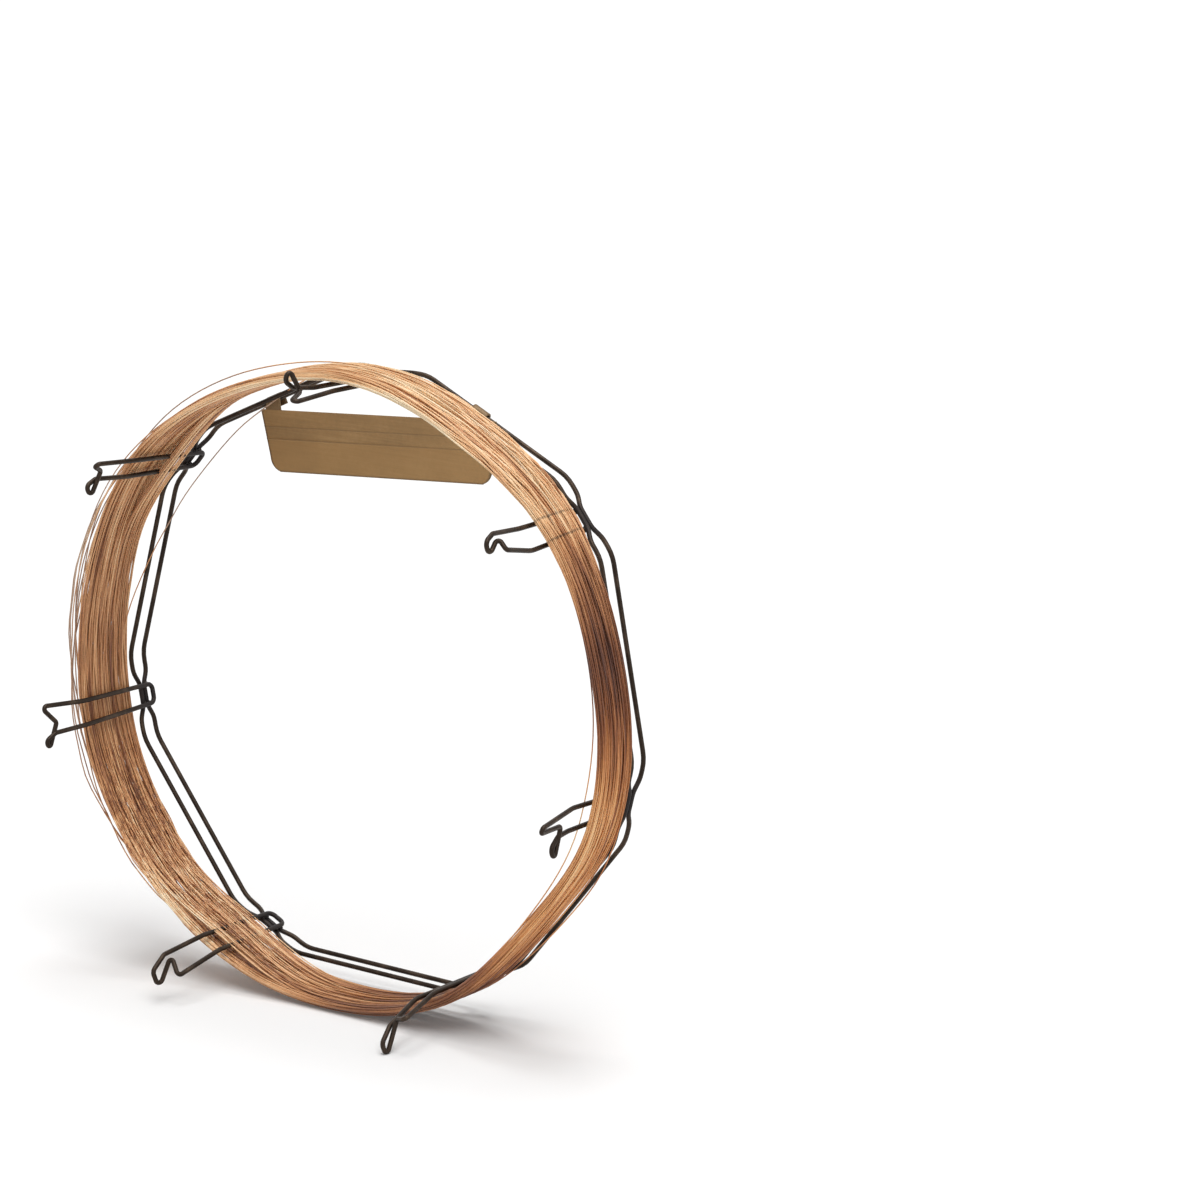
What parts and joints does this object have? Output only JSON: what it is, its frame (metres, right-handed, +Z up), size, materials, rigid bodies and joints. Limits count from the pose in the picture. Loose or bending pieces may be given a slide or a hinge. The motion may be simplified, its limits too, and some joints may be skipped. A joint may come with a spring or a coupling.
{
  "type": "gc capillary column",
  "caption": "Coated glass capillary wound in a ring on a polygonal wire cage with hairpin arms, standing on its rim, with a bare metal tag plate hooked inside the top.",
  "frame": {"origin": "level with the lowest point of its rim, under the middle of its box", "axes": "+Z up; +Y along the cage's axis, towards its rear ring wires; the arms point to -Y"},
  "size_m": [0.1706, 0.0494, 0.1721],
  "materials": {
    "dark_wire": "dark oxidised spring wire",
    "coated_glass": "copper-brown polyimide coating on fused silica",
    "plate_metal": "satin brown-olive sheet"
  },
  "bodies": {
    "root": {"front_ring_wire": "dark_wire", "rear_ring_wire": "dark_wire", "arm_top": "dark_wire", "arm_upper_left": "dark_wire", "arm_left": "dark_wire", "arm_lower_left": "dark_wire", "arm_lower_right": "dark_wire", "arm_right": "dark_wire", "arm_upper_right": "dark_wire", "capillary_winding": "coated_glass", "tag_plate": "plate_metal"}
  },
  "joints": []
}
